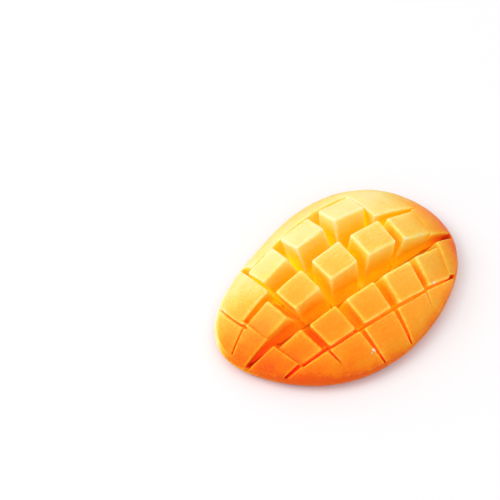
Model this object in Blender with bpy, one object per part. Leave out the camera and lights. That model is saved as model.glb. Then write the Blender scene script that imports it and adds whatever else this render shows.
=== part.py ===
"""Half a mango, scored into cubes and turned inside out, lying on its peel with the cubes up.

Metres, +Z up. +X runs along the fruit towards its broad end, and the origin is under the
middle of the half, on the surface that it rests on. The half is one solid: blocks of flesh that
lean apart, a web of uncut flesh under them, and the peel with its rounded rim.

Flat coordinates (u, v) are those of the cheek before it is turned out, as it was scored on the
board: u along the fruit and v across it, measured from the middle of the cut face.
"""

import math
from collections import namedtuple

import bmesh
import bpy
from mathutils import Matrix, Vector

MM = 0.001

# The rim, seen from above: an ellipse pulled into an egg by a few waves round it.
HALF_LENGTH = 60.1 * MM
HALF_WIDTH = 43.7 * MM
RIM_OFFSET = Vector((-0.7 * MM, 1.4 * MM))
RIM_WAVES = {2: (0.0, 0.025), 3: (-0.025, 0.02), 4: (0.0, -0.025)}
RIM_SEGMENTS = 80

# The peel side: a flat ring that it rests on, round a shallow hollow, and a rounded rim.
RIM_HEIGHT = 5.0 * MM
RIM_INSET = 5.0 * MM
RING_WIDTH = 6.0 * MM
HOLLOW_DEPTH = 1.8 * MM
HOLLOW_STEPS = (0.2, 0.6, 1.0)
RIM_TURNS = (0.0, 25.0, 50.0, 70.0, 90.0)

# The dome that the outer blocks keep: its rise over the rim, and how roundly it falls to it.
DOME_RISE = 21.6 * MM
DOME_ROUNDNESS = 0.75
DOME_STEPS = (0.975, 0.95, 0.91, 0.86, 0.8, 0.73, 0.65, 0.55, 0.4)

# How the flesh stands on the peel once it is turned out.
SKIN_HEIGHT = 3.0 * MM
CROWN = 1.7 * MM
FLESH_DEPTH = 24.7 * MM
DEPTH_FALL = 1.23
SPREAD_LENGTH = 1.007
SPREAD_WIDTH = 1.081

# The web of flesh that the cuts leave over the peel, thicker towards the rim.
WEB = 0.6 * MM
RIM_WEB = 3.6 * MM
RIM_WEB_FALL = 8
WEB_STEPS = (0.98, 0.95, 0.9, 0.8, 0.65, 0.4)

# Outward lean of a block, in radians, at these distances from the middle, and its change there.
LEAN_LENGTH = 50.0 * MM
LEAN_ALONG = 0.674
LEAN_ALONG_RISE = 0.311
LEAN_WIDTH = 30.0 * MM
LEAN_ACROSS = 0.944
LEAN_ACROSS_RISE = -0.267
LEAN_FLARE = 0.46
LEAN_LIMIT = 1.1

# The knife cuts across the half, from -X to +X, and along it, from +Y to -Y. Each set has one
# pitch, and it fans out: every cut is slanted a little more than the one before it, in degrees.
# The cuts across also get wider apart towards the broad end.
CROSS_MIDDLE = -3.6 * MM
CROSS_PITCH = 15.7 * MM
CROSS_WIDENING = 0.45 * MM
CROSS_SLANT = 0.9
CROSS_FAN = 4.3
LONG_PITCH = 13.9 * MM
LONG_SLANT = -0.75
LONG_FAN = -2.4

# The first and last row or column of cells that each cut runs through. Row 0 is on the +Y side
# and column 0 on the -X side, both outside the first cut.
CROSS_RUNS = ((1, 4), (0, 4), (1, 4), (1, 4), (1, 4), (2, 3))
LONG_RUNS = ((2, 4), (1, 6), (0, 6), (0, 6))

HALF_KERF = 0.2 * MM
CUT_EDGE_ROUND = 0.6 * MM

# How far every block reaches under its foot. Blocks on the rim: their width past the last cut,
# how far they are drawn past the rim and over the dome, and how much of the opening towards the
# next block they fill: along the rim, and towards the middle with one value for each row.
BLOCK_ROOT = 20.0 * MM
RIM_BLOCK_WIDTH = 14.0 * MM
RIM_BLOCK_REACH = 24.0 * MM
RIM_BLOCK_HEAD = 12.0 * MM
CLOSED_TO_RIM = 0.65
CLOSED_TO_INNER = (-0.35, 0.85, 0.85, 0.85, 0.85)

# Two cuts that run out over the narrow end as thin slits: the place in plan where they cross, how
# far each starts behind it, their headings in degrees and how far they run on, and the size of
# the slits. They point away from a place under the middle of the half.
SLIT_CROSSING = Vector((-50.0, 6.0)) * MM
SLIT_BEHIND = 2.0 * MM
SLIT_HEADINGS = (93.0, 201.0)
SLIT_RUNS = (17.0 * MM, 11.0 * MM)
SLIT_WIDTH = 1.1 * MM
SLIT_DEPTH = 3.5 * MM
SLIT_TAPER = 0.2
SLIT_CENTRE = Vector((0.0, 0.0, -30.0 * MM))

# Room that the cutters keep past the shapes that they cut.
PAST = 8.0 * MM
WIDE = 1.04
CEILING = 40.0 * MM

FLESH_COLOUR = (0.98, 0.42, 0.05, 1.0)


Cut = namedtuple("Cut", "start slant first last")


def knife_cuts(runs, middle, pitch, widening, slant, fan):
    """A set of cuts: where each crosses the middle line, its slant, and the cells it runs through."""
    cuts = []
    for number, (first, last) in enumerate(runs):
        step = number - (len(runs) - 1) / 2.0
        start = middle + pitch * step + widening * step**2
        cuts.append(Cut(start, slant + fan * step, first, last))
    return cuts


CROSS_CUTS = knife_cuts(CROSS_RUNS, CROSS_MIDDLE, CROSS_PITCH, CROSS_WIDENING, CROSS_SLANT, CROSS_FAN)
LONG_CUTS = knife_cuts(LONG_RUNS, 0.0, -LONG_PITCH, 0.0, LONG_SLANT, LONG_FAN)


def clear_scene():
    """Removes whatever the open file holds."""
    for thing in list(bpy.data.objects):
        bpy.data.objects.remove(thing, do_unlink=True)


def flesh_material():
    """Ripe mango flesh: orange-yellow and wet."""
    material = bpy.data.materials.new("mango_flesh")
    material.use_nodes = True
    shader = material.node_tree.nodes["Principled BSDF"]
    shader.inputs["Base Color"].default_value = FLESH_COLOUR
    shader.inputs["Roughness"].default_value = 0.35
    shader.inputs["Metallic"].default_value = 0.0
    return material


def egg_factor(angle):
    """How far the egg stands from its plain ellipse at an angle, as a factor."""
    factor = 1.0
    for turns, (cosine, sine) in RIM_WAVES.items():
        factor += cosine * math.cos(turns * angle) + sine * math.sin(turns * angle)
    return factor


def rim_point(angle, scale=1.0, inset=0.0):
    """A point of the rim in plan, or of the rim drawn in by a scale or an inset."""
    factor = egg_factor(angle) * scale
    along = (HALF_LENGTH * factor - inset) * math.cos(angle)
    across = (HALF_WIDTH * factor - inset) * math.sin(angle)
    return RIM_OFFSET + Vector((along, across))


def rim_angles():
    """Evenly stepped angles round the rim."""
    return [2.0 * math.pi * step / RIM_SEGMENTS for step in range(RIM_SEGMENTS)]


def rim_middle():
    """The middle of the rim's box, which becomes the origin."""
    points = [rim_point(angle) for angle in rim_angles()]
    low = Vector((min(p.x for p in points), min(p.y for p in points)))
    high = Vector((max(p.x for p in points), max(p.y for p in points)))
    return (low + high) / 2.0


def rim_share(place):
    """0 in the middle of the half and 1 at its rim: the square of the way out."""
    along = (place.x - RIM_OFFSET.x) / HALF_LENGTH
    across = (place.y - RIM_OFFSET.y) / HALF_WIDTH
    return (math.hypot(along, across) / egg_factor(math.atan2(across, along))) ** 2


def skin_height(share):
    """Height of the inner side of the peel, which crowns a little in the middle."""
    return SKIN_HEIGHT + CROWN * (1.0 - share)


def web_height(share):
    """Height of the floor of the grooves, which climbs to the rim where the cuts run out."""
    return skin_height(share) + WEB + RIM_WEB * share**RIM_WEB_FALL


def dome_height(share):
    """Height of the dome over a place inside the rim."""
    return RIM_HEIGHT + DOME_RISE * (1.0 - share) ** DOME_ROUNDNESS


def block_depth(share):
    """How far the flesh stands out from the peel."""
    return FLESH_DEPTH * (1.0 - share) ** DEPTH_FALL


def foot_share(place):
    """How far out a block's foot is, as rim_share gives it, but never past the rim."""
    return min(rim_share(Vector((SPREAD_LENGTH * place.x, SPREAD_WIDTH * place.y))), 1.0)


def turned_out(place):
    """The frame of a block whose middle was at a place on the flat cheek: its foot, leaning."""
    length_share = place.x / LEAN_LENGTH
    width_share = place.y / LEAN_WIDTH
    along = LEAN_ALONG * length_share + LEAN_ALONG_RISE * length_share**3
    along *= 1.0 + LEAN_FLARE * width_share**2
    across = LEAN_ACROSS * width_share + LEAN_ACROSS_RISE * width_share**3
    lean = min(math.hypot(along, across), LEAN_LIMIT)
    turn = Matrix.Rotation(lean, 4, Vector((-across, along, 0.0)))
    foot = Vector((SPREAD_LENGTH * place.x, SPREAD_WIDTH * place.y, 0.0))
    foot.z = skin_height(foot_share(place))
    return Matrix.Translation(foot) @ turn


class Side(namedtuple("Side", "cuts index way sign along beyond")):
    """A side of a cell: the cuts beyond it, the first of them, the way on through them, the sign
    of that way, how far along them the cell is, and the cell on the other side."""

    def is_last(self):
        """Whether no cut lies beyond."""
        return not 0 <= self.index < len(self.cuts)

    def is_freed(self):
        """Whether a cut frees the cell here."""
        if self.is_last():
            return False
        cut = self.cuts[self.index]
        return cut.first <= self.along <= cut.last

    def out_to_cut(self):
        """The same side, taken on to the first cut that runs this far."""
        side = self
        while not side.is_last() and not side.is_freed():
            side = side._replace(index=side.index + side.way)
        return side

    def line(self, step):
        """Where the cut starts, moved outwards by a step, and its slope; past the last, the last."""
        cut = self.cuts[min(max(self.index, 0), len(self.cuts) - 1)]
        return cut.start + self.sign * step, math.tan(math.radians(cut.slant))


def cell_sides(row, column):
    """The +u, -u, +v and -v sides of a cell."""
    return (
        Side(CROSS_CUTS, column, 1, 1, row, (row, column + 1)),
        Side(CROSS_CUTS, column - 1, -1, -1, row, (row, column - 1)),
        Side(LONG_CUTS, row - 1, -1, 1, column, (row - 1, column)),
        Side(LONG_CUTS, row, 1, -1, column, (row + 1, column)),
    )


def corners_between(lines):
    """The corners, in turn, between two lines across the cheek and two lines along it."""
    corners = []
    for side_u, side_v in ((0, 2), (1, 2), (1, 3), (0, 3)):
        start_u, slope_u = lines[side_u]
        start_v, slope_v = lines[side_v]
        v = (start_v + start_u * slope_v) / (1.0 - slope_u * slope_v)
        corners.append(Vector((start_u + v * slope_u, v)))
    return corners


def cell_middle(row, column):
    """The middle of a cell on the flat cheek, one on the rim taken as RIM_BLOCK_WIDTH wide."""
    sides = cell_sides(row, column)
    corners = corners_between([side.line(RIM_BLOCK_WIDTH if side.is_last() else 0.0) for side in sides])
    return sum(corners, Vector((0.0, 0.0))) / len(corners)


def owner(row, column):
    """The cell that a cell is one block with: where no cut parts two, the one further in."""
    for side in cell_sides(row, column):
        joined = not side.is_last() and not side.is_freed()
        if joined and cell_middle(*side.beyond).length < cell_middle(row, column).length:
            return owner(*side.beyond)
    return row, column


def is_rim_block(row, column):
    """Whether a cell has a side that no cut frees."""
    return not all(side.is_freed() for side in cell_sides(row, column))


def filled_opening(cell, beyond):
    """How much a rim block's side flares towards the next block, as a slope."""
    outward = turned_out(cell_middle(*cell)).col[2]
    opening = outward.angle(turned_out(cell_middle(*beyond)).col[2])
    if is_rim_block(*beyond):
        return CLOSED_TO_RIM * math.tan(opening / 2.0)
    return CLOSED_TO_INNER[cell[0]] * math.tan(opening)


def block_corners(row, column, height):
    """A block's corners on the flat cheek, at a height over its foot."""
    lines = []
    for side in cell_sides(row, column):
        side = side.out_to_cut()
        step = RIM_BLOCK_REACH if side.is_last() else -HALF_KERF
        if is_rim_block(row, column) and not side.is_last():
            step += filled_opening((row, column), owner(*side.beyond)) * height
        lines.append(side.line(step))
    return corners_between(lines)


def new_object(name, bm):
    """Wraps a bmesh in an object, not yet in any collection."""
    bmesh.ops.recalc_face_normals(bm, faces=bm.faces)
    mesh = bpy.data.meshes.new(name)
    bm.to_mesh(mesh)
    bm.free()
    return bpy.data.objects.new(name, mesh)


def as_cutter(thing):
    """Keeps a guide out of the finished model."""
    thing.hide_render = True
    thing.display_type = "WIRE"
    return thing


def flesh_block(row, column):
    """One block of flesh between its cuts, leaning outwards from its foot in the web.

    An inner block is flat on top, with its cut edges a little worn. A rim block stands taller, so
    that the dome can shape its top, and its sides flare to keep close to the next ones.
    """
    middle = cell_middle(row, column)
    top_height = block_depth(foot_share(middle))
    if is_rim_block(row, column):
        top_height += RIM_BLOCK_HEAD
    bm = bmesh.new()
    ends = []
    for height in (top_height, -BLOCK_ROOT):
        corners = block_corners(row, column, height)
        ends.append(bm.faces.new([bm.verts.new((*(corner - middle), height)) for corner in corners]))
    top = ends[0]
    bmesh.ops.bridge_loops(bm, edges=bm.edges[:])
    if not is_rim_block(row, column):
        worn = [edge for edge in bm.edges if any(vert in top.verts for vert in edge.verts)]
        bmesh.ops.bevel(
            bm,
            geom=worn,
            offset=CUT_EDGE_ROUND,
            segments=1,
            profile=0.5,
            affect="EDGES",
            material=-1,
        )
    bmesh.ops.transform(bm, matrix=turned_out(middle), verts=bm.verts)
    return as_cutter(new_object(f"block_{row}_{column}", bm))


def block_collection(name, on_rim):
    """The rim blocks or the inner ones, in a collection that a Boolean can join."""
    blocks = bpy.data.collections.new(name)
    bpy.context.scene.collection.children.link(blocks)
    for row in range(len(LONG_CUTS) + 1):
        for column in range(len(CROSS_CUTS) + 1):
            if owner(row, column) == (row, column) and is_rim_block(row, column) == on_rim:
                blocks.objects.link(flesh_block(row, column))
    return blocks


def end_slit(start, end):
    """A thin wedge that opens a slit between two places on the dome."""
    first, last = (Vector((*place, dome_height(rim_share(place)))) for place in (start, end))
    middle = (first + last) / 2.0
    along = last - first
    outward = middle - SLIT_CENTRE
    outward -= along * outward.dot(along) / along.length_squared
    across = outward.cross(along)
    bm = bmesh.new()
    size = Matrix.Diagonal((along.length, SLIT_WIDTH, 2.0 * SLIT_DEPTH, 1.0))
    bmesh.ops.create_cube(bm, size=1.0, matrix=size)
    for vert in bm.verts:
        if vert.co.z < 0.0:
            vert.co.y *= SLIT_TAPER
    axes = (along.normalized(), across.normalized(), outward.normalized())
    turn = Matrix(axes).transposed().to_4x4()
    bmesh.ops.transform(bm, matrix=Matrix.Translation(middle) @ turn, verts=bm.verts)
    return as_cutter(new_object("end_slit", bm))


def slit_collection():
    """The slits in a collection that a Boolean can take away."""
    slits = bpy.data.collections.new("end_slits")
    bpy.context.scene.collection.children.link(slits)
    for heading, run in zip(SLIT_HEADINGS, SLIT_RUNS):
        way = Vector((math.cos(math.radians(heading)), math.sin(math.radians(heading))))
        slits.objects.link(end_slit(SLIT_CROSSING - way * SLIT_BEHIND, SLIT_CROSSING + way * run))
    return slits


def lofted(name, rings):
    """A closed body through rings round the rim, each given as a scale, an inset and a height."""
    bm = bmesh.new()
    loops = []
    for scale, inset, height in rings:
        ring = bmesh.ops.create_circle(bm, segments=RIM_SEGMENTS, radius=1.0)["verts"]
        for vert, angle in zip(ring, rim_angles()):
            vert.co = (*rim_point(angle, scale, inset), height)
        loops.append([edge for edge in bm.edges if edge.verts[0] in ring])
    for lower, upper in zip(loops, loops[1:]):
        bmesh.ops.bridge_loops(bm, edges=lower + upper)
    for end in (loops[0], loops[-1]):
        bmesh.ops.contextual_create(bm, geom=end)
    thing = new_object(name, bm)
    bpy.context.scene.collection.objects.link(thing)
    return thing


def web_body():
    """The uncut flesh that the grooves end in, drawn past the rim and below the peel."""
    rings = [(WIDE, 0.0, -PAST), (WIDE, 0.0, web_height(1.0))]
    for scale in WEB_STEPS:
        rings.append((scale, 0.0, web_height(scale**2)))
    return lofted("mango_half", rings)


def dome_body():
    """What lies under the dome, drawn past the rim and below the peel."""
    rings = [(WIDE, 0.0, -PAST), (WIDE, 0.0, 0.0)]
    for scale in DOME_STEPS:
        rings.append((scale, 0.0, dome_height(scale**2)))
    return as_cutter(lofted("dome", rings))


def peel_body():
    """What lies over the peel: its shallow hollow, its ring, its round rim, and a wall up."""
    rings = []
    ring_inset = RIM_INSET + RING_WIDTH
    for share in HOLLOW_STEPS:
        inset = ring_inset + (1.0 - share) * (HALF_WIDTH - ring_inset)
        rings.append((1.0, inset, HOLLOW_DEPTH * (1.0 - share**2)))
    for turn in RIM_TURNS:
        angle = math.radians(turn)
        rings.append((1.0, RIM_INSET * (1.0 - math.sin(angle)), RIM_HEIGHT * (1.0 - math.cos(angle))))
    rings.append((1.0, 0.0, CEILING))
    return as_cutter(lofted("peel", rings))


def add_boolean(body, name, operation, operand):
    """Adds a Boolean with an object or with a whole collection."""
    boolean = body.modifiers.new(name, "BOOLEAN")
    boolean.operation = operation
    if isinstance(operand, bpy.types.Collection):
        boolean.operand_type = "COLLECTION"
        boolean.collection = operand
    else:
        boolean.object = operand


def mango_half():
    """The web and the blocks as one body, the rim blocks cut to the dome and all to the peel."""
    body = web_body()
    body.data.materials.append(flesh_material())
    add_boolean(body, "join_rim_blocks", "UNION", block_collection("rim_blocks", True))
    add_boolean(body, "cut_to_dome", "INTERSECT", dome_body())
    add_boolean(body, "cut_end_slits", "DIFFERENCE", slit_collection())
    add_boolean(body, "join_inner_blocks", "UNION", block_collection("inner_blocks", False))
    add_boolean(body, "cut_to_peel", "INTERSECT", peel_body())
    return body


def main():
    clear_scene()
    mango_half()
    shift = rim_middle()
    for thing in bpy.context.scene.objects:
        thing.location = (-shift.x, -shift.y, 0.0)


main()
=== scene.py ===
# %% [markdown]
# # Half a mango, cubed and turned out
# A cheek is cut off the stone, the knife scores its flesh down to the skin, along and across,
# and the skin is pushed up from below. The flesh opens into cubes that lean apart.
#
# The carved solid is already there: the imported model, with every cut in its place. What is left
# for this file is how it looks: edges that the knife left soft, wet and slightly pitted flesh that
# runs from pale yellow to deep orange, the skin under it, and beads of juice.

import math
import random

import bmesh
import bpy
import numpy as np
from mathutils import Matrix, Vector, noise
from mathutils.bvhtree import BVHTree


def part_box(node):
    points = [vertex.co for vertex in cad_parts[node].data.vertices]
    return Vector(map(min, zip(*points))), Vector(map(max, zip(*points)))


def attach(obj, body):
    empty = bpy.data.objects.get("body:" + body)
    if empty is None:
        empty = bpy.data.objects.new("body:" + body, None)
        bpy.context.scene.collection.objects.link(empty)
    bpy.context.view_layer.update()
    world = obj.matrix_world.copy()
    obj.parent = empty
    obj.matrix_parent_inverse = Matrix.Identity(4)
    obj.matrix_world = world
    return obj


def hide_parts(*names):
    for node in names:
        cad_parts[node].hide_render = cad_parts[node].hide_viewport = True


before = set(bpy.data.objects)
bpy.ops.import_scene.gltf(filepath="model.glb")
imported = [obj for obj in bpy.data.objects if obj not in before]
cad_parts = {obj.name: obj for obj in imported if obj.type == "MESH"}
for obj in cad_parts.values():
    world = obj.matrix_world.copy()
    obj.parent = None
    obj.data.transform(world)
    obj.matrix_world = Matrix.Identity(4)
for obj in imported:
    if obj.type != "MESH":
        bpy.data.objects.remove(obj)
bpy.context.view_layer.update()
MM = 0.001

# %% [markdown]
# ## Where things are
# The solid lies on its skin with +Z up. +X runs towards the broad end of the fruit. Places on it
# are measured from the middle of the solid's own box.

# %% The solid's box
LOW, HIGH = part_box("mango_half")
MIDDLE = (LOW + HIGH) / 2.0
HALF_LENGTH = (HIGH.x - LOW.x) / 2.0
HALF_WIDTH = (HIGH.y - LOW.y) / 2.0
print("half length", round(HALF_LENGTH / MM, 1), "half width", round(HALF_WIDTH / MM, 1))

# %% [markdown]
# ## The camera
# It looks down on the fruit from between its near side and its narrow end. The aim lies beside
# the fruit, so that the fruit sits low and to the right in the view.

# %% Camera
CAMERA_TURN = math.radians(39.7)
CAMERA_HEIGHT = math.radians(56.4)
CAMERA_DISTANCE = 500.0 * MM
LOOKED_AT = Vector((2.3, -1.0, 0.0)) * MM
AIM_LEFT = 41.9 * MM
AIM_ABOVE = 19.1 * MM
LENS = 80.0
SENSOR_WIDTH = 36.0
NEAREST_SEEN = 10.0 * MM
FARTHEST_SEEN = 20.0


def add_camera():
    """A camera that looks at the fruit, then pans off it without tilting the view."""
    out = Vector((
        -math.cos(CAMERA_HEIGHT) * math.sin(CAMERA_TURN),
        -math.cos(CAMERA_HEIGHT) * math.cos(CAMERA_TURN),
        math.sin(CAMERA_HEIGHT),
    ))
    right = Vector((0.0, 0.0, 1.0)).cross(out).normalized()
    up = out.cross(right)
    place = LOOKED_AT + out * CAMERA_DISTANCE
    back = (place - (LOOKED_AT - right * AIM_LEFT + up * AIM_ABOVE)).normalized()
    side = up.cross(back).normalized()
    turn = Matrix((side, back.cross(side), back)).transposed().to_4x4()
    camera = bpy.data.objects.new("camera", bpy.data.cameras.new("camera"))
    bpy.context.scene.collection.objects.link(camera)
    camera.matrix_world = Matrix.Translation(place) @ turn
    camera.data.sensor_width = SENSOR_WIDTH
    camera.data.lens = LENS
    camera.data.clip_start = NEAREST_SEEN
    camera.data.clip_end = FARTHEST_SEEN
    bpy.context.scene.camera = camera
    return camera


camera = add_camera()
print("the camera stands at", [round(value / MM) for value in camera.location], "mm")

# %% [markdown]
# ## Colours and nodes
# Paint charts and colour pickers give sRGB values, and the shader works on linear light, so one
# function turns the one into the other. A second small function adds a node, fills in its
# settings, and makes its links.

# %% Colours


def linear(hex_colour):
    """Turns an sRGB hex colour into the linear values that a shader takes."""
    channels = []
    for start in (0, 2, 4):
        value = int(hex_colour[start:start + 2], 16) / 255.0
        channels.append(value / 12.92 if value <= 0.04045 else ((value + 0.055) / 1.055) ** 2.4)
    return (*channels, 1.0)


print("mid grey 808080 is", [round(value, 3) for value in linear("808080")[:3]], "in linear light")

# %% Nodes


def add_node(tree, kind, settings=None, **inputs):
    """Adds a node. Settings are its own properties; an input is a value or the socket to link."""
    node = tree.nodes.new(kind)
    for name, value in (settings or {}).items():
        setattr(node, name, value)
    for name, value in inputs.items():
        key = int(name[1:]) if name[0] == "_" else name.replace("_", " ")
        socket = node.inputs[key]
        if isinstance(value, bpy.types.NodeSocket):
            tree.links.new(value, socket)
        else:
            socket.default_value = value
    return node


def new_material(name):
    """A material with an empty node tree."""
    material = bpy.data.materials.new(name)
    material.use_nodes = True
    material.node_tree.nodes.clear()
    print("material:", name)
    return material, material.node_tree


def fill_ramp(ramp, stops, span=1.0):
    """Sets a colour ramp's stops from (place, hex colour) pairs, places being shares of a span."""
    elements = ramp.color_ramp.elements
    while len(elements) > 1:
        elements.remove(elements[-1])
    elements[0].position = stops[0][0] / span
    elements[0].color = linear(stops[0][1])
    for place, colour in stops[1:]:
        elements.new(place / span).color = linear(colour)
    return ramp


# %% [markdown]
# ## The studio
# A white table and a room full of soft white light, with one large lamp over the far left. Soft
# light from all round keeps the cuts bright: they get their colour from light that has bounced
# between walls of flesh.

# %% Studio
TABLE_SIZE = 6.0
LAMP_PLACE = Vector((-0.75, 0.65, 1.0))
LAMP_SIZE = 0.9
LAMP_POWER = 7.0
ROOM_LIGHT = 0.9


def table_finish():
    """White laminate: bright and smooth, with a faint reflection of what stands on it."""
    material, tree = new_material("white_laminate")
    shader = add_node(
        tree, "ShaderNodeBsdfPrincipled",
        Base_Color=linear("F7F4F5"), Roughness=0.32, IOR=1.45,
    )
    add_node(tree, "ShaderNodeOutputMaterial", Surface=shader.outputs["BSDF"])
    return material


def add_table():
    """A plain white table top."""
    bm = bmesh.new()
    bmesh.ops.create_grid(bm, x_segments=1, y_segments=1, size=TABLE_SIZE / 2.0)
    mesh = bpy.data.meshes.new("table")
    bm.to_mesh(mesh)
    bm.free()
    table = bpy.data.objects.new("table", mesh)
    mesh.materials.append(table_finish())
    bpy.context.scene.collection.objects.link(table)


def add_lamp():
    """A large round lamp that shines on the fruit."""
    light = bpy.data.lights.new("key_lamp", "AREA")
    light.shape = "DISK"
    light.size = LAMP_SIZE
    light.energy = LAMP_POWER
    lamp = bpy.data.objects.new("key_lamp", light)
    bpy.context.scene.collection.objects.link(lamp)
    lamp.location = LAMP_PLACE
    lamp.rotation_euler = (-LAMP_PLACE).to_track_quat("-Z", "Y").to_euler()


def light_room():
    """Soft white light from all round."""
    world = bpy.data.worlds.new("room")
    world.use_nodes = True
    background = world.node_tree.nodes["Background"]
    background.inputs["Color"].default_value = linear("FFFFFF")
    background.inputs["Strength"].default_value = ROOM_LIGHT
    bpy.context.scene.world = world


add_table()
add_lamp()
light_room()
bpy.context.scene.view_settings.view_transform = "Standard"
print("one lamp of", LAMP_POWER, "W and a white room")

# %% [markdown]
# ## The flesh
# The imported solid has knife-sharp edges and flat facets. Real cubes have edges rounded by about a
# millimetre, and cut faces that waver a little. A bevel on every edge would work on tidy faces,
# but a solid that came out of many cuts has slivers where cuts meet. A voxel remesh ignores the
# slivers: it lays one even skin of small quads over the whole shape, and smoothing that skin
# rounds every edge by the same amount, as a wet edge is.

# %% Copy the solid and merge its loose triangles
WELD = 0.001 * MM


def solid_copy():
    """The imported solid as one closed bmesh."""
    bm = bmesh.new()
    bm.from_mesh(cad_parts["mango_half"].data)
    bmesh.ops.remove_doubles(bm, verts=bm.verts, dist=WELD)
    return bm


solid = solid_copy()
print("the solid has", len(solid.verts), "points and", len(solid.faces), "faces")

# %% Helpers for pieces


def as_piece(name, bm):
    """Puts a bmesh in a mesh object at the origin."""
    mesh = bpy.data.meshes.new(name)
    bm.to_mesh(mesh)
    bm.free()
    piece = bpy.data.objects.new(name, mesh)
    bpy.context.scene.collection.objects.link(piece)
    return piece


def with_modifier(piece, kind, **settings):
    """Gives a piece one modifier and applies it."""
    modifier = piece.modifiers.new(kind.lower(), kind)
    for name, value in settings.items():
        setattr(modifier, name, value)
    evaluated = piece.evaluated_get(bpy.context.evaluated_depsgraph_get())
    mesh = bpy.data.meshes.new_from_object(evaluated)
    piece.modifiers.clear()
    old, piece.data = piece.data, mesh
    bpy.data.meshes.remove(old)
    mesh.name = piece.name


def triangles(piece):
    """How many triangles a piece has."""
    return sum(len(face.vertices) - 2 for face in piece.data.polygons)


# %% [markdown]
# Some cuts are hardly wider than a knife blade, and a voxel skin would bridge them. So the copy is
# drawn in by a fraction of a millimetre first, which opens every cut, and let out by half of that
# afterwards: by then the skin runs down both walls of each cut, and they only come closer. Where
# faces meet in a sharp point, the point is drawn in no further than SHARPEST times as much.

# %% Lay an even skin over it
GRAIN = 0.34 * MM
DRAWN_IN = 0.2 * MM
SHARPEST = 1.5
LET_OUT = 0.1 * MM

for vert in solid.verts:
    vert.co -= vert.normal * min(vert.calc_shell_factor(), SHARPEST) * DRAWN_IN
flesh = as_piece("mango_flesh", solid)
with_modifier(flesh, "REMESH", mode="VOXEL", voxel_size=GRAIN, adaptivity=0.0)
print("flesh:", len(flesh.data.vertices), "points,", len(flesh.data.polygons), "quads", flush=True)

# %% Round the cut edges
EDGE_PASSES = 8
EDGE_PULL = 0.5

with_modifier(flesh, "SMOOTH", factor=EDGE_PULL, iterations=EDGE_PASSES)
with_modifier(flesh, "DISPLACE", mid_level=0.0, strength=LET_OUT)
print("edges rounded in", EDGE_PASSES, "passes")

# %% [markdown]
# ## Uneven cut faces
# A knife pushed through soft, stringy flesh wanders, and the fibres that it cuts stand up or tear
# out. Two layers of noise move the points of the surface along their normals: slow waves a few
# millimetres long, and small dents about a millimetre across that come and go in patches. Low
# down, where the skin wraps the flesh, the flesh is drawn in to make room for it. A displacement
# in the material would cost no points, but it isn't part of the mesh. The mesh is thinned last,
# so that the points that are left lie where the surface bends.

# %% Waver and dents
WAVE_LENGTH = 7.0 * MM
WAVE_HEIGHT = 0.22 * MM
DENT_SIZE = 1.5 * MM
DENT_DEPTH = 0.09 * MM
PATCH_SIZE = 12.0 * MM
PATCH_COVER = 0.45
SKIN_TOP = 2.9 * MM
SKIN_TUCK = 0.5 * MM
FLESH_KEPT = 0.262


def unevenness(place):
    """How far a point of the cut flesh stands off its flat face, or lies in under the skin."""
    wave = noise.noise(place / WAVE_LENGTH) * WAVE_HEIGHT
    patch = max(noise.noise(place / PATCH_SIZE) + PATCH_COVER, 0.0)
    dent = noise.noise(place / DENT_SIZE) * DENT_DEPTH * patch
    under_skin = min(max((SKIN_TOP + SKIN_TUCK - place.z) / SKIN_TUCK, 0.0), 1.0)
    return (wave + dent) * (1.0 - under_skin) - SKIN_TUCK * under_skin


def points(mesh, name="co"):
    """A mesh's points, or their normals, as rows of three."""
    flat = np.empty(len(mesh.vertices) * 3)
    mesh.vertices.foreach_get(name, flat)
    return flat.reshape(-1, 3)


def move_points(mesh, places):
    """Puts a mesh's points where the rows of three say."""
    mesh.vertices.foreach_set("co", places.ravel())
    mesh.update()


places = points(flesh.data)
heights = np.array([unevenness(Vector(place)) for place in places])
move_points(flesh.data, places + points(flesh.data, "normal") * heights[:, None])
with_modifier(flesh, "DECIMATE", decimate_type="COLLAPSE", ratio=FLESH_KEPT)
flesh.data.shade_smooth()
print("flesh:", triangles(flesh), "triangles")

# %% [markdown]
# ## What a point of the flesh can see
# Flesh glows: light that enters a cube comes out of its neighbour, so the cuts are more yellow,
# orange or red than the tops, but never black. Two kinds of measure steer the colour. The first is
# how much of the sky a point sees, found by rays sent out from it. The second is how far a point
# stands out, found by how far more smoothing would draw it in: a few passes find the edges, and
# many passes find the borders of the cubes. All are kept as attributes of the mesh, which stay
# with it whatever the view.

# %% Measure the sky
SKY_RAYS = 24
SKY_REACH = 22.0 * MM
SKY_LIFT = 0.35 * MM
SKY_PASSES = 3
GOLDEN_TURN = math.pi * (3.0 - math.sqrt(5.0))


def sky_directions(count):
    """Directions spread over a hemisphere round +Z, more of them towards its top."""
    directions = []
    for step in range(count):
        share_out = (step + 0.5) / count
        turn = step * GOLDEN_TURN
        flat = math.sqrt(share_out)
        up = math.sqrt(1.0 - share_out)
        directions.append(Vector((flat * math.cos(turn), flat * math.sin(turn), up)))
    return directions


def sky_seen(mesh, tree):
    """For each point, the share of the sky that no flesh hides."""
    directions = sky_directions(SKY_RAYS)
    seen = []
    for vert in mesh.vertices:
        turn = vert.normal.to_track_quat("Z", "Y").to_matrix()
        start = vert.co + vert.normal * SKY_LIFT
        free = sum(tree.ray_cast(start, turn @ way, SKY_REACH)[0] is None for way in directions)
        seen.append(free / SKY_RAYS)
    return np.array(seen)


def spread(values, mesh, passes):
    """Evens out a measure between neighbouring points."""
    ends = np.empty(len(mesh.edges) * 2, np.int32)
    mesh.edges.foreach_get("vertices", ends)
    first, second = ends[0::2], ends[1::2]
    count = np.bincount(first, minlength=len(values)) + np.bincount(second, minlength=len(values))
    for _ in range(passes):
        around = np.bincount(first, values[second], len(values))
        around += np.bincount(second, values[first], len(values))
        values = (values + around / count) / 2.0
    return values


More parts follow.
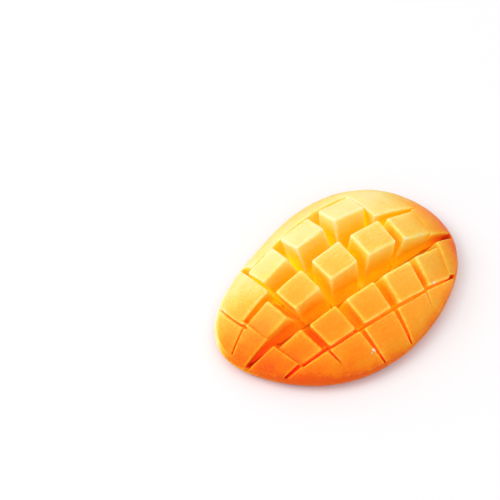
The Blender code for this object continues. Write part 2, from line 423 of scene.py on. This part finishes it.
def keep(mesh, name, values):
    """Stores a measure as an attribute of the mesh."""
    mesh.attributes.new(name, "FLOAT", "POINT").data.foreach_set("value", values.astype(np.float32))


mesh = flesh.data
finished = bmesh.new()
finished.from_mesh(mesh)
flesh_tree = BVHTree.FromBMesh(finished)
finished.free()
open_sky = spread(sky_seen(mesh, flesh_tree), mesh, SKY_PASSES)
keep(mesh, "open_sky", open_sky)
print("sky seen", np.percentile(open_sky, [1, 5, 25, 50, 75, 95]).round(2))

# %% Measure edges and borders
EDGE_REACH = 8
BORDER_REACH = 50


def standing_out(mesh, passes):
    """How far each point stands out from its surroundings, in millimetres."""
    places = points(mesh)
    even = np.column_stack([spread(places[:, axis], mesh, passes) for axis in range(3)])
    return np.einsum("ij,ij->i", places - even, points(mesh, "normal")) / MM


edge = standing_out(mesh, EDGE_REACH)
keep(mesh, "edge", edge)
border = standing_out(mesh, BORDER_REACH)
keep(mesh, "border", border)
print("edge", np.percentile(edge, [1, 5, 50, 90, 95, 99]).round(3))
print("border", np.percentile(border, [1, 5, 50, 90, 95, 99]).round(3))

# %% [markdown]
# ## How ripe and how lit, and so how pale
# A mango ripens from the skin in and from one end to the other. Here the near side is deep orange
# and the far side pale yellow, partly ripeness and partly painted light: the far side, towards the
# lamp, is painted paler, and the near side, away from it, is painted in shade. Both ends are deeper
# orange than the middle, and the flesh turns red-orange just above the skin. One measure,
# paleness, says it all, painted light and shade included: 0 is the ripest, most shaded red and 1 a
# pale, lit cream.
# A texture could be painted by hand, but a sum of a few plain terms is easy to change, and it
# follows the shape.
#
# Distances along and across are in half lengths of the fruit, from its middle.

# %% Where each point lies on the fruit
RIM_FROM = 0.8

places = points(mesh)
normals = points(mesh, "normal")
along = (places[:, 0] - MIDDLE.x) / HALF_LENGTH
across = (places[:, 1] - MIDDLE.y) / HALF_LENGTH
way_out = along**2 + (across * HALF_LENGTH / HALF_WIDTH)**2
outer = way_out > RIM_FROM
print("on the outer rim:", int(outer.sum()), "of", len(outer), "points")


def past(values, start):
    """How far a measure lies past a start, and 0 before it."""
    return np.clip(values - start, 0.0, None)


def share(values, start, span):
    """0 up to a start, 1 from a span past it, and evenly more between."""
    return np.clip((values - start) / span, 0.0, 1.0)


# %% Paleness of the whole fruit
# Paleness at the middle, and its slopes along and across the fruit and towards both ends.
AT_MIDDLE = 0.64
ALONG_FRUIT = 0.16
ACROSS_FRUIT = 0.46
TO_BOTH_ENDS = -0.34
# It falls again past a line on the far side and past one near the broad end.
FAR_SIDE = 0.4
FAR_SIDE_FALL = 1.3
BROAD_END = 0.72
BROAD_END_FALL = 1.2
# It rises on the far side towards the narrow end, and among the inner cubes of the near side
# towards the broad end.
NARROW_FROM = -0.1
FAR_NARROW_RISE = 0.5
INNER_TO = 0.9
INNER_SPAN = 0.625
NEAR_BROAD_RISE = 0.45

# The slope across the fruit and the rise at the far side's narrow end are partly painted light: paler
# towards the lamp.
paleness = AT_MIDDLE + ALONG_FRUIT * along + ACROSS_FRUIT * across + TO_BOTH_ENDS * along**2
paleness -= FAR_SIDE_FALL * past(across, FAR_SIDE) + BROAD_END_FALL * past(along, BROAD_END)
paleness += FAR_NARROW_RISE * past(across, 0.0) * past(-along, NARROW_FROM)
inner = share(-way_out, -INNER_TO, INNER_SPAN)
paleness += NEAR_BROAD_RISE * inner * past(-across, 0.0) * past(along, 0.0)
print("paleness of the whole", np.percentile(paleness, [1, 25, 50, 75, 99]).round(2))

# %% [markdown]
# The walls that face the narrow end are painted paler, as painted light on the side towards the
# lamp, and the walls that face the near side are a little paler too. The rim is riper low down,
# close to the skin, and deepest on the near side, partly ripeness and partly painted shade. Along
# the far side of the narrow end, a bright rim is painted on the steep flesh: a painted reflection
# of the white room on the wet edge.

# %% Paleness of walls and rim
# How much paler the walls are that face the narrow end and the near side; on those that face the narrow
# end it is painted light.
NARROW_WALL_LIGHT = 0.1
NEAR_WALL = 0.13
# The ripe band over the skin, partly painted shade: its upper edge, the height that it fades over, and
# its strength.
NEAR_SKIN = 9.5 * MM
NEAR_SKIN_SPAN = 6.5 * MM
SKIN_RIPENESS_AND_SHADE = 0.38
# The share of that strength at the middle of the fruit, its fall towards the far side, its rise
# towards the broad end, and how much of it is taken back at the broad tip.
FRONT = 0.6
FRONT_ACROSS = 2.0
FRONT_ALONG = 0.8
BROAD_TIP = 0.6
BROAD_TIP_SPAN = 0.3
BROAD_TIP_LESS = 0.5
# The painted reflection on the rim: on steep flesh of the far side, fading in from the middle to the
# narrow end.
STEEP = 0.72
STEEP_SPAN = 0.3
REFLECTION_SIDE = 0.02
REFLECTION_SIDE_SPAN = 0.15
REFLECTION_END_SPAN = 2.0 / 3.0
RIM_REFLECTION_PALENESS = 0.4

wall = 1.0 - np.abs(normals[:, 2])
# Walls that face the narrow end are painted paler: painted light on the lamp's side.
paleness += wall * (NARROW_WALL_LIGHT * past(-normals[:, 0], 0.0) + NEAR_WALL * past(-normals[:, 1], 0.0))

low_down = share(-places[:, 2], -NEAR_SKIN, NEAR_SKIN_SPAN)
front = np.clip(FRONT - FRONT_ACROSS * across + FRONT_ALONG * along, 0.0, 1.0)
front -= BROAD_TIP_LESS * share(along, BROAD_TIP, BROAD_TIP_SPAN)
# The band is partly ripeness and partly painted shade, strongest on the near side.
paleness -= SKIN_RIPENESS_AND_SHADE * outer * low_down * front

# A painted reflection: steep flesh of the far side is painted paler, as the wet rim reflects the white
# room.
rim_reflection = share(-normals[:, 2], -STEEP, STEEP_SPAN) * share(across, REFLECTION_SIDE, REFLECTION_SIDE_SPAN)
paleness += RIM_REFLECTION_PALENESS * outer * rim_reflection * share(-along, 0.0, REFLECTION_END_SPAN)
keep(mesh, "paleness", paleness)
print("paleness", np.percentile(paleness, [1, 25, 50, 75, 99]).round(2))

# %% [markdown]
# ## The finish of the flesh
# Fresh mango flesh is wet and translucent, with fibres along the fruit and a fine grain. Light
# sinks a few millimetres into it, red light deepest, which subsurface scattering gives. Three
# colour ramps read paleness: one for open tops, one of painted shade and bounced light, darker and
# redder, for cuts that see little sky, and one for the glow in the deepest cuts, where light comes
# through from the flesh round them. A real path of light through so many thin walls takes very
# long to compute, so that glow is a weak emission.
# Noise in three sizes breaks the colours up, and edges and borders are painted a little paler: a painted
# highlight where wet edges catch the light.

# %% Colours of the flesh, ripe to pale, and painted shade in the cuts
PALENESS_SPAN = 1.2
TOP_COLOURS = (
    (0.15, "EC5E06"), (0.25, "F68008"), (0.33, "F79614"), (0.44, "F9AA28"),
    (0.55, "FCBC42"), (0.64, "FDCC5A"), (0.72, "FEDA7E"), (0.86, "FEE49C"), (1.1, "FFF2D0"),
)
# Painted shade and bounced light: cuts that see little sky take these darker, redder colours.
SHADED_CUT_COLOURS = (
    (0.15, "DE2A10"), (0.25, "EC4A14"), (0.38, "F58018"), (0.48, "FA9E16"), (0.58, "FEB818"),
    (0.70, "FFD014"), (0.86, "FFDC12"), (1.0, "FFE290"), (1.15, "FFEED0"),
)
GLOW_COLOURS = (
    (0.15, "E23018"), (0.25, "E83E1A"), (0.38, "EE581A"), (0.48, "F07818"), (0.58, "F48E16"),
    (0.70, "F79E12"), (0.86, "FBBC0E"), (1.0, "FFD010"),
)
print("colour stops:", len(TOP_COLOURS), "tops,", len(SHADED_CUT_COLOURS), "cuts,", len(GLOW_COLOURS), "glow")

# %% Flesh finish
FIBRE_LENGTH = 7.0 * MM
FIBRE_WIDTH = 1.1 * MM
GRAIN_SIZE = 0.8 * MM
BLOTCH_SIZE = 9.0 * MM
FIBRE_PALENESS = 0.12
GRAIN_PALENESS = 0.2
BLOTCH_PALENESS = 0.12
# A measure, where its painted highlight starts and is full, and how much paleness it adds.
EDGE_HIGHLIGHTS = (("edge", 0.04, 0.16, 0.13), ("border", 0.05, 0.8, 0.12))
CUT_SKY = 0.2
TOP_SKY = 0.95
GLOW_SKY = 0.22
GLOW_STRENGTH = 0.52
RELIEF_DEPTH = 0.22 * MM
LIGHT_DEPTH = 7.0 * MM


def flesh_finish():
    """Ripe mango flesh, freshly cut: light sinks into it, and juice makes it shine."""
    material, tree = new_material("fresh_cut_flesh")
    where = add_node(tree, "ShaderNodeTexCoord").outputs["Object"]
    along_fibre = add_node(
        tree, "ShaderNodeMapping", Vector=where,
        Scale=(1.0 / FIBRE_LENGTH, 1.0 / FIBRE_WIDTH, 1.0 / FIBRE_WIDTH)).outputs["Vector"]
    fibre = add_node(tree, "ShaderNodeTexNoise", Vector=along_fibre, Scale=1.0, Detail=3.0, Roughness=0.6)
    grain = add_node(tree, "ShaderNodeTexNoise", Vector=where, Scale=1.0 / GRAIN_SIZE, Detail=3.0)
    blotch = add_node(tree, "ShaderNodeTexNoise", Vector=where, Scale=1.0 / BLOTCH_SIZE, Detail=2.0)

    pale = add_node(tree, "ShaderNodeAttribute", {"attribute_name": "paleness"}).outputs["Fac"]
    for texture, amount in ((fibre, FIBRE_PALENESS), (grain, GRAIN_PALENESS), (blotch, BLOTCH_PALENESS)):
        centred = add_node(
            tree, "ShaderNodeMath", {"operation": "MULTIPLY_ADD"},
            _0=texture.outputs["Fac"], _1=amount, _2=-amount / 2.0)
        pale = add_node(tree, "ShaderNodeMath", {"operation": "ADD"},
                        _0=pale, _1=centred.outputs[0]).outputs[0]
    # Edges and borders painted paler: a painted highlight.
    for name, low, high, amount in EDGE_HIGHLIGHTS:
        stands_out = add_node(tree, "ShaderNodeAttribute", {"attribute_name": name}).outputs["Fac"]
        edge_highlight = add_node(tree, "ShaderNodeMapRange", Value=stands_out,
                          From_Min=low, From_Max=high, To_Max=amount)
        pale = add_node(tree, "ShaderNodeMath", {"operation": "ADD"},
                        _0=pale, _1=edge_highlight.outputs[0]).outputs[0]
    pale = add_node(tree, "ShaderNodeMath", {"operation": "DIVIDE"},
                    _0=pale, _1=PALENESS_SPAN).outputs[0]

    ramps = []
    for colours in (TOP_COLOURS, SHADED_CUT_COLOURS, GLOW_COLOURS):
        ramp = fill_ramp(add_node(tree, "ShaderNodeValToRGB", Fac=pale), colours, PALENESS_SPAN)
        ramps.append(ramp.outputs["Color"])
    tops, cuts, glow = ramps
    sky = add_node(tree, "ShaderNodeAttribute", {"attribute_name": "open_sky"}).outputs["Fac"]
    out = add_node(tree, "ShaderNodeMapRange", Value=sky, From_Min=CUT_SKY, From_Max=TOP_SKY)
    # Cuts that see little sky are painted in shade with the darker cut colours.
    colour = add_node(tree, "ShaderNodeMix", {"data_type": "RGBA"},
                      Factor=out.outputs[0], _6=cuts, _7=tops)
    glowing = add_node(tree, "ShaderNodeMapRange", Value=sky, From_Min=0.0, From_Max=GLOW_SKY,
                       To_Min=GLOW_STRENGTH, To_Max=0.0)

    relief = add_node(tree, "ShaderNodeMath", {"operation": "ADD"},
                      _0=fibre.outputs["Fac"], _1=grain.outputs["Fac"])
    bump = add_node(tree, "ShaderNodeBump", Height=relief.outputs[0],
                    Strength=0.7, Distance=RELIEF_DEPTH)
    shader = add_node(
        tree, "ShaderNodeBsdfPrincipled",
        Base_Color=colour.outputs[2], Roughness=0.45, IOR=1.33, Specular_IOR_Level=0.22,
        Subsurface_Weight=1.0, Subsurface_Radius=(1.0, 0.65, 0.2), Subsurface_Scale=LIGHT_DEPTH,
        Coat_Weight=0.1, Coat_Roughness=0.12, Coat_IOR=1.33,
        Normal=bump.outputs["Normal"], Coat_Normal=bump.outputs["Normal"],
        Emission_Color=glow, Emission_Strength=glowing.outputs[0],
    )
    add_node(tree, "ShaderNodeOutputMaterial", Surface=shader.outputs["BSDF"])
    return material


flesh.data.materials.clear()
flesh.data.materials.append(flesh_finish())
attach(flesh, "root")
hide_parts("mango_half")

# %% [markdown]
# ## The skin
# Only the underside and the lowest few millimetres still have their skin. It could be a separate
# shell drawn round the flesh, but cut from the same solid it is sure to fit. The lowest slice is
# given its thickness inwards, and smoothed a little less than the flesh.

# %% Skin of the underside
SKIN_THICKNESS = 1.1 * MM
SKIN_GRAIN = 0.45 * MM
SKIN_PASSES = 2
SKIN_KEPT = 0.3

bowl = solid_copy()
bmesh.ops.bisect_plane(
    bowl, geom=bowl.verts[:] + bowl.edges[:] + bowl.faces[:], dist=WELD,
    plane_co=(0.0, 0.0, LOW.z + SKIN_TOP), plane_no=(0.0, 0.0, 1.0), clear_outer=True)
skin = as_piece("mango_peel", bowl)
with_modifier(skin, "SOLIDIFY", thickness=SKIN_THICKNESS, offset=-1.0)
with_modifier(skin, "REMESH", mode="VOXEL", voxel_size=SKIN_GRAIN, adaptivity=0.0)
with_modifier(skin, "SMOOTH", factor=EDGE_PULL, iterations=SKIN_PASSES)
with_modifier(skin, "DECIMATE", decimate_type="COLLAPSE", ratio=SKIN_KEPT)
skin.data.shade_smooth()
print("skin:", triangles(skin), "triangles")

# %% [markdown]
# ## The finish of the skin
# Ripe skin of a red mango is waxy, blushes from red to orange-yellow, and carries small pale
# pores. Slow noise makes the blush, and the cells of a Voronoi pattern each hold one pore.

# %% Skin finish
BLUSH_SIZE = 28.0 * MM
PORE_SPACING = 2.6 * MM
PORE_DEPTH = 0.1 * MM
# A pore is at its palest up to the first of these shares of the spacing, and gone at the second.
PORE_INNER = 0.08
PORE_OUTER = 0.15
PORE_PALENESS = 0.6
BLUSH_COLOURS = ((0.3, "B8261A"), (0.45, "D23C1C"), (0.58, "E4661E"), (0.75, "F0A030"))


def skin_finish():
    """Waxy mango skin: a red blush over yellow, with pale pores."""
    material, tree = new_material("waxy_mango_skin")
    where = add_node(tree, "ShaderNodeTexCoord").outputs["Object"]
    blush = add_node(tree, "ShaderNodeTexNoise", Vector=where, Scale=1.0 / BLUSH_SIZE, Detail=4.0)
    colour = fill_ramp(add_node(tree, "ShaderNodeValToRGB", Fac=blush.outputs["Fac"]), BLUSH_COLOURS)
    pores = add_node(tree, "ShaderNodeTexVoronoi", Vector=where, Scale=1.0 / PORE_SPACING)
    pore = add_node(tree, "ShaderNodeMapRange", Value=pores.outputs["Distance"],
                    From_Min=PORE_INNER, From_Max=PORE_OUTER, To_Min=PORE_PALENESS, To_Max=0.0)
    speckled = add_node(tree, "ShaderNodeMix", {"data_type": "RGBA"}, Factor=pore.outputs[0],
                        _6=colour.outputs["Color"], _7=linear("F6C070"))
    bump = add_node(tree, "ShaderNodeBump", Height=pores.outputs["Distance"],
                    Strength=0.3, Distance=PORE_DEPTH)
    shader = add_node(
        tree, "ShaderNodeBsdfPrincipled",
        Base_Color=speckled.outputs[2], Roughness=0.42, IOR=1.45,
        Coat_Weight=0.3, Coat_Roughness=0.25, Normal=bump.outputs["Normal"],
    )
    add_node(tree, "ShaderNodeOutputMaterial", Surface=shader.outputs["BSDF"])
    return material


skin.data.materials.append(skin_finish())
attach(skin, "root")

# %% [markdown]
# ## Juice
# Juice drawn out of the flesh by the knife gathers in beads on the edges of a few cubes. Each bead
# is a small lens that sits half sunk in the flesh, with a few finer ones round it. Their places
# could be listed, but here they are drawn at random from the flesh's own points, so they stay on
# it: those on the lower edge of a leaning top, where juice runs down to, on the riper near side
# where there is most of it.

# %% Places for the beads
BEAD_SEED = 11
BEAD_PLACES = 6
LEANS_NEAR = -0.45
STILL_UPWARD = 0.45
OPEN = 0.7
ON_EDGE = 0.07
NEAR_SIDE = -0.1

draw = random.Random(BEAD_SEED)
low_edge = (normals[:, 1] < LEANS_NEAR) & (normals[:, 2] > STILL_UPWARD)
juicy = low_edge & (open_sky > OPEN) & (edge > ON_EDGE) & (across < NEAR_SIDE) & ~outer
spots = [places[index] for index in draw.sample(np.flatnonzero(juicy).tolist(), BEAD_PLACES)]
print("beads gather at", BEAD_PLACES, "of", int(juicy.sum()), "points")

# %% Beads of juice
BEAD_RADIUS_MM = (0.45, 0.8)
BEAD_HEIGHT = 0.45
BEAD_WIDTH = (0.65, 0.95)
FINE_BEADS = 2
FINE_SHARE = (0.25, 0.5)
FINE_SPREAD = 1.5 * MM
ABOVE = 60.0 * MM
DOWN = Vector((0.0, 0.0, -1.0))


def add_bead(bm, x, y, radius):
    """One lens of juice on the flesh below (x, y)."""
    place, normal, _, _ = flesh_tree.ray_cast(Vector((x, y, ABOVE)), DOWN)
    spin = Matrix.Rotation(draw.uniform(0.0, math.pi), 4, "Z")
    turn = normal.to_track_quat("Z", "Y").to_matrix().to_4x4() @ spin
    shape = Matrix.Diagonal((1.0, draw.uniform(*BEAD_WIDTH), BEAD_HEIGHT, 1.0))
    bmesh.ops.create_icosphere(
        bm, subdivisions=3, radius=radius, matrix=Matrix.Translation(place) @ turn @ shape)


beads = bmesh.new()
for x, y, _ in spots:
    radius = draw.uniform(*BEAD_RADIUS_MM) * MM
    add_bead(beads, x, y, radius)
    for _ in range(FINE_BEADS):
        add_bead(beads, x + draw.uniform(-FINE_SPREAD, FINE_SPREAD),
                 y + draw.uniform(-FINE_SPREAD, FINE_SPREAD), radius * draw.uniform(*FINE_SHARE))
juice = as_piece("juice_beads", beads)
juice.data.shade_smooth()
print("juice:", triangles(juice), "triangles")

# %% [markdown]
# ## The finish of the juice
# Mango juice is nearly clear in a bead this small. What the eye sees is its glint, so the beads are
# painted a pale cream that lets only a quarter of the light through, a painted highlight that
# stands in for the glint; a smooth coat adds its real shine, and a little light passes through to
# the flesh below.

# %% Juice finish


def juice_with_painted_glint():
    """Mango juice with a painted glint: pale cream and mostly opaque, under a smooth coat."""
    material, tree = new_material("juice_painted_glint")
    shader = add_node(
        tree, "ShaderNodeBsdfPrincipled",
        Base_Color=linear("FFF8E4"), Roughness=0.03, IOR=1.35, Transmission_Weight=0.25,
        Coat_Weight=1.0, Coat_Roughness=0.02, Coat_IOR=1.6,
    )
    add_node(tree, "ShaderNodeOutputMaterial", Surface=shader.outputs["BSDF"])
    return material


juice.data.materials.append(juice_with_painted_glint())
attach(juice, "root")
